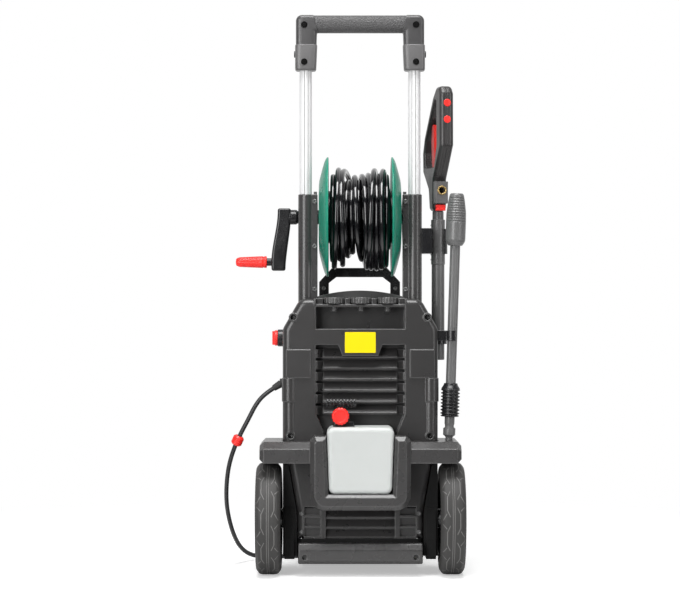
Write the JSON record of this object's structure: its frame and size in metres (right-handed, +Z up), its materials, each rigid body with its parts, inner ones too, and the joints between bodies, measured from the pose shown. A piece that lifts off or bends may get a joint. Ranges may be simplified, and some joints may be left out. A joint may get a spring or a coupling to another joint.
{
  "type": "pressure washer",
  "caption": "Upright electric pressure washer with telescopic handle, cranked hose reel, two wheels, detergent tank, trigger gun and lance.",
  "frame": {"origin": "on the floor in the machine's mid-plane, under the middle of the front foot's sole", "axes": "+Z up, +X to the right seen from the handle side, +Y to the front with the water inlet"},
  "size_m": [0.4381, 0.462, 1.009],
  "materials": {
    "black_plastic": "satin",
    "dark_grey_plastic": "satin",
    "rubber": "matte",
    "tyre": "matte",
    "aluminium": "satin",
    "steel": "satin",
    "black_screw": "satin",
    "green_plastic": "satin",
    "red_plastic": "satin",
    "hose": "gloss",
    "cord": "satin",
    "label": "satin",
    "tank": "translucent",
    "brass": "satin",
    "cast": "cast",
    "grey_plastic": "satin"
  },
  "bodies": {
    "machine": {"base_tray": "black_plastic", "front_foot": "rubber", "axle": "steel", "bumper_bar": "dark_grey_plastic", "tank_cradle": "dark_grey_plastic", "rear_cover": "dark_grey_plastic", "front_cover": "dark_grey_plastic", "nozzle_shelf": "dark_grey_plastic", "label_plate": "label", "body_screws": "black_screw", "column_left": "dark_grey_plastic", "column_right": "dark_grey_plastic", "reel_bearings": "black_plastic", "cross_bar": "black_plastic", "motor_housing": "cast", "pump_body": "cast", "pistons": "steel", "water_inlet": "brass", "high_pressure_pipe": "steel", "switch_base": "black_plastic", "cord_gland": "rubber", "power_cord": "cord", "cord_coil": "cord", "mains_plug": "rubber", "cord_clip": "red_plastic", "tool_clips": "black_plastic"},
    "wheel_left": {"wheel_left_tyre": "tyre", "wheel_left_rim": "black_plastic"},
    "wheel_right": {"wheel_right_tyre": "tyre", "wheel_right_rim": "black_plastic"},
    "handle": {"handle_tubes": "aluminium", "grip_rear": "black_plastic", "grip_front": "black_plastic", "grip_screws": "black_screw"},
    "button_left": {"release_button_left": "black_plastic"},
    "button_right": {"release_button_right": "black_plastic"},
    "reel": {"reel_drum": "black_plastic", "reel_flange_left": "green_plastic", "reel_flange_right": "green_plastic", "crank_arm": "black_plastic", "hose_winding": "hose"},
    "crank_grip": {"crank_grip": "red_plastic"},
    "tank": {"detergent_tank": "tank", "detergent_valve": "black_plastic"},
    "tank_cap": {"tank_cap": "red_plastic"},
    "nozzle_left": {"nozzle_tip_left": "black_plastic"},
    "nozzle_middle": {"nozzle_tip_middle": "black_plastic"},
    "nozzle_right": {"nozzle_tip_right": "black_plastic"},
    "rotor": {"rotor_shaft": "steel", "cooling_fan": "black_plastic"},
    "switch": {"switch_knob": "red_plastic"},
    "gun": {"gun_shell_left": "black_plastic", "gun_shell_right": "black_plastic", "gun_valve": "grey_plastic", "gun_barrel": "black_plastic"},
    "gun_trigger": {"gun_trigger": "red_plastic"},
    "gun_release": {"gun_release": "red_plastic"},
    "lance": {"lance_tube": "black_plastic", "bayonet_sleeve": "black_plastic"},
    "spray_head": {"spray_head": "dark_grey_plastic"}
  },
  "joints": [
    {"name": "wheel_left_spin", "type": "hinge", "parent": "machine", "child": "wheel_left", "pos_m": [-0.164, -0.18, 0.1], "axis": [1, 0, 0], "continuous": true},
    {"name": "wheel_right_spin", "type": "hinge", "parent": "machine", "child": "wheel_right", "pos_m": [0.164, -0.18, 0.1], "axis": [1, 0, 0], "continuous": true},
    {"name": "handle_slide", "type": "slide", "parent": "machine", "child": "handle", "axis": [0, 0, 1], "range_m": [-0.19, 0]},
    {"name": "release_left_press", "type": "slide", "parent": "handle", "child": "button_left", "axis": [1, 0, 0], "range_m": [0, 0.0022], "stiffness_N_per_m": 600, "springref_m": -0.001},
    {"name": "release_right_press", "type": "slide", "parent": "handle", "child": "button_right", "axis": [-1, 0, 0], "range_m": [0, 0.0022], "stiffness_N_per_m": 600, "springref_m": -0.001},
    {"name": "reel_spin", "type": "hinge", "parent": "machine", "child": "reel", "pos_m": [0, -0.115, 0.644], "axis": [1, 0, 0], "continuous": true},
    {"name": "crank_grip_spin", "type": "hinge", "parent": "reel", "child": "crank_grip", "pos_m": [-0.199, -0.115, 0.562], "axis": [1, 0, 0], "continuous": true},
    {"name": "tank_slide", "type": "slide", "parent": "machine", "child": "tank", "axis": [0, -1, 0], "range_m": [0, 0.15]},
    {"name": "tank_cap_turn", "type": "hinge", "parent": "tank", "child": "tank_cap", "pos_m": [-0.0355, -0.246, 0.287], "axis": [0, -1, 0], "range_deg": [-90, 270]},
    {"name": "nozzle_left_lift", "type": "slide", "parent": "machine", "child": "nozzle_left", "axis": [0, 0, 1], "range_m": [0, 0.03]},
    {"name": "nozzle_middle_lift", "type": "slide", "parent": "machine", "child": "nozzle_middle", "axis": [0, 0, 1], "range_m": [0, 0.03]},
    {"name": "nozzle_right_lift", "type": "slide", "parent": "machine", "child": "nozzle_right", "axis": [0, 0, 1], "range_m": [0, 0.03]},
    {"name": "rotor_spin", "type": "hinge", "parent": "machine", "child": "rotor", "pos_m": [0, -0.062, 0.3], "axis": [0, 0, 1], "continuous": true},
    {"name": "switch_turn", "type": "hinge", "parent": "machine", "child": "switch", "pos_m": [-0.155, -0.15, 0.424], "axis": [-1, 0, 0], "range_deg": [0, 90]},
    {"name": "gun_lift", "type": "slide", "parent": "machine", "child": "gun", "axis": [0, 0, 1], "range_m": [0, 0.25]},
    {"name": "trigger_pull", "type": "hinge", "parent": "gun", "child": "gun_trigger", "pos_m": [0.14298, -0.09807, 0.728], "axis": [0.9659, 0.2588, 0], "range_deg": [0, 13], "stiffness_Nm_per_rad": 1, "springref_deg": -5.73},
    {"name": "gun_release_press", "type": "slide", "parent": "gun", "child": "gun_release", "axis": [-0.2588, 0.9659, 0], "range_m": [0, 0.0025], "stiffness_N_per_m": 600, "springref_m": -0.001},
    {"name": "lance_lift", "type": "slide", "parent": "machine", "child": "lance", "axis": [0.0321, 0, 0.9995], "range_m": [0, 0.06]},
    {"name": "spray_head_turn", "type": "hinge", "parent": "lance", "child": "spray_head", "pos_m": [0.17204, -0.185, 0.63229], "axis": [0.0321, 0, 0.9995], "range_deg": [-45, 45]}
  ]
}
